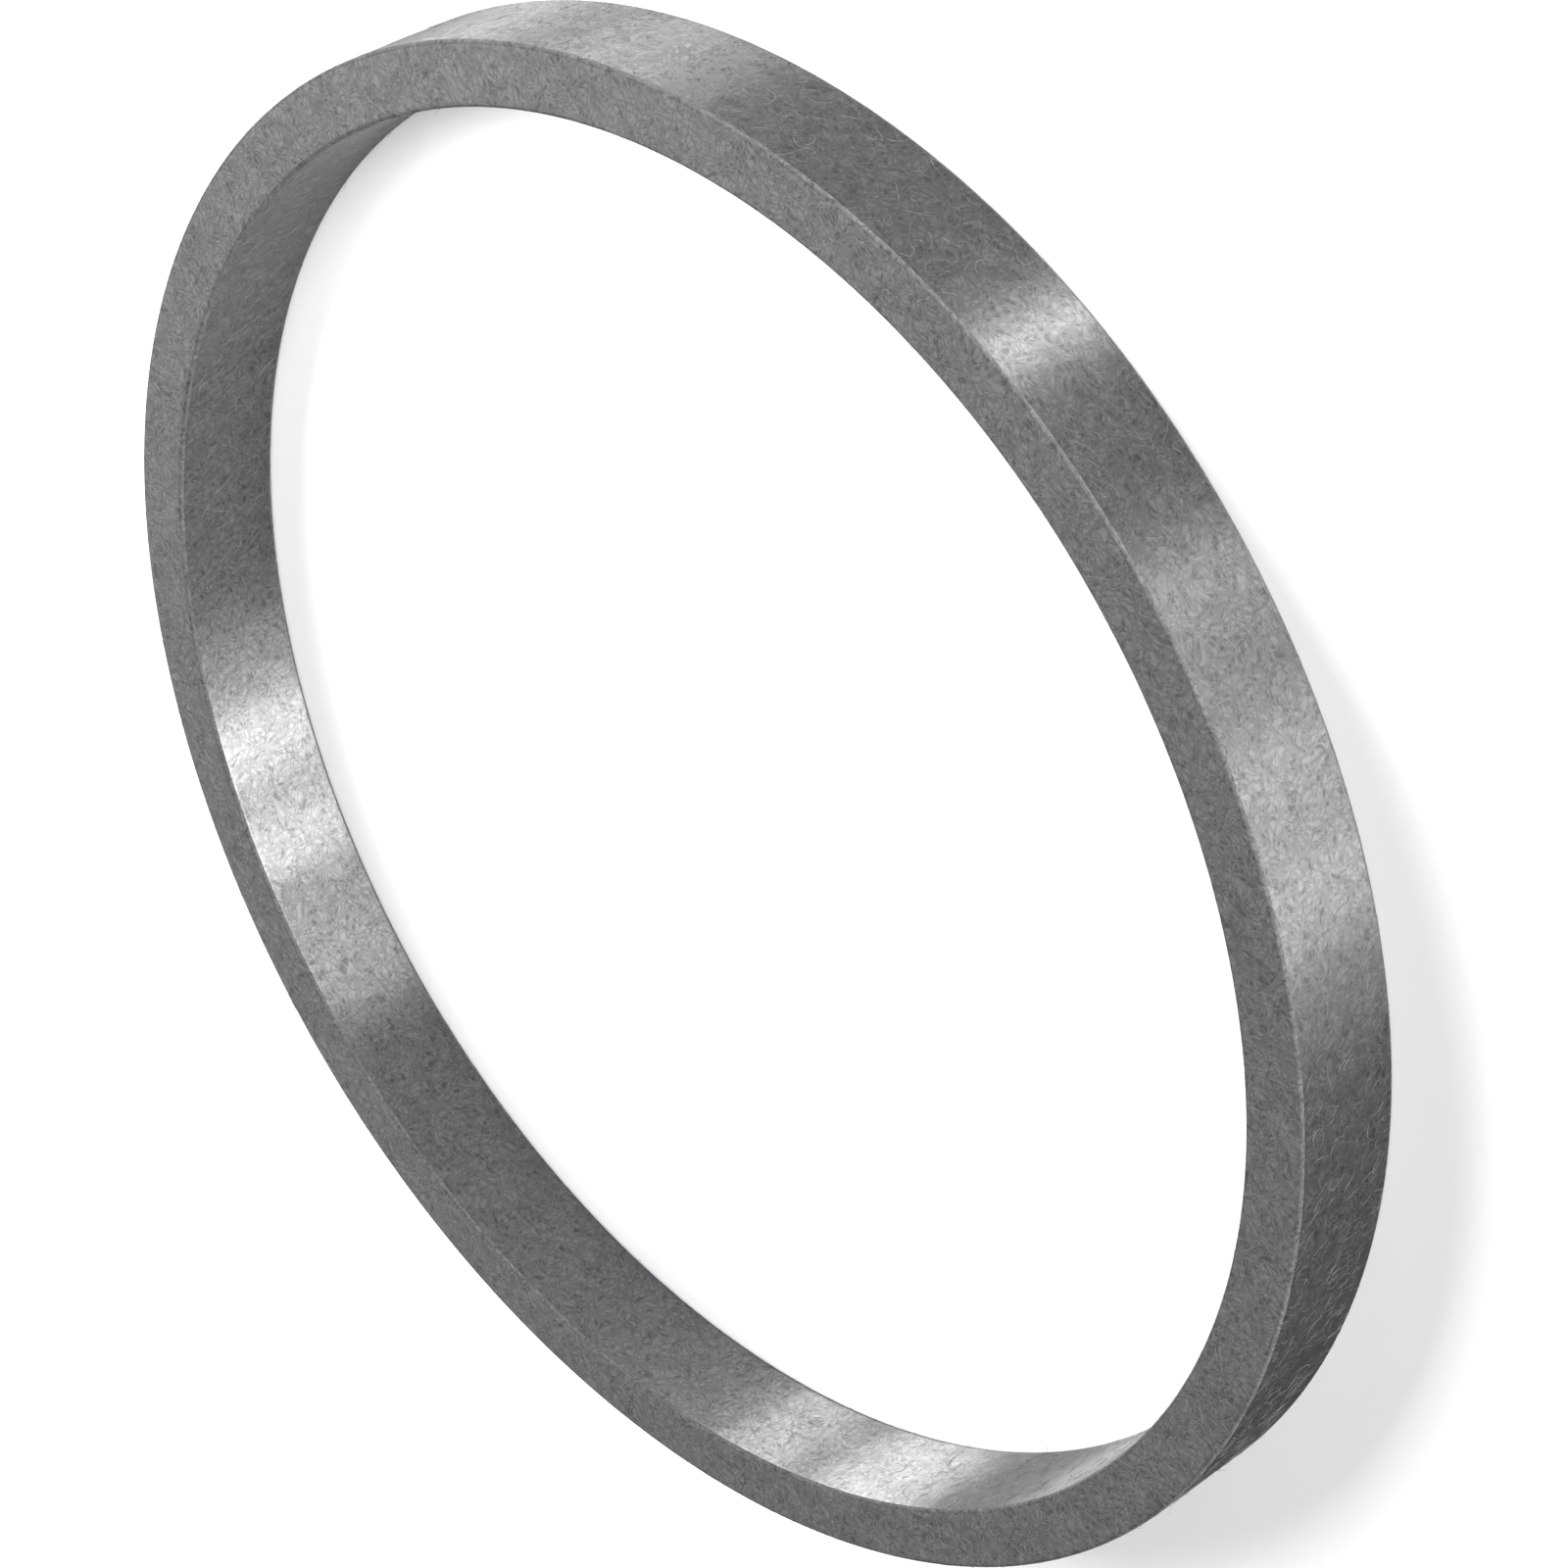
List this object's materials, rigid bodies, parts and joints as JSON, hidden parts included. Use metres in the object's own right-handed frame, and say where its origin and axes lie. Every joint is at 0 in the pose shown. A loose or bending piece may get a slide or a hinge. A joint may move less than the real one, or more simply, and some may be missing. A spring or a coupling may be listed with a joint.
{
  "type": "felt dust seal",
  "caption": "Closed ring of pressed felt with a plain rectangular section. It sits in a groove, wipes a turning shaft and keeps dust out.",
  "frame": {"origin": "centre of the bore at the lower face, on which the ring lies", "axes": "+Z along the shaft, out of the upper face; X and Y lie in the lower face"},
  "size_m": [0.087, 0.087, 0.0068],
  "materials": {
    "felt": "dense grey wool felt, pressed and cut smooth, with a satin sheen"
  },
  "bodies": {
    "root": {"felt_ring": "felt"}
  },
  "joints": []
}
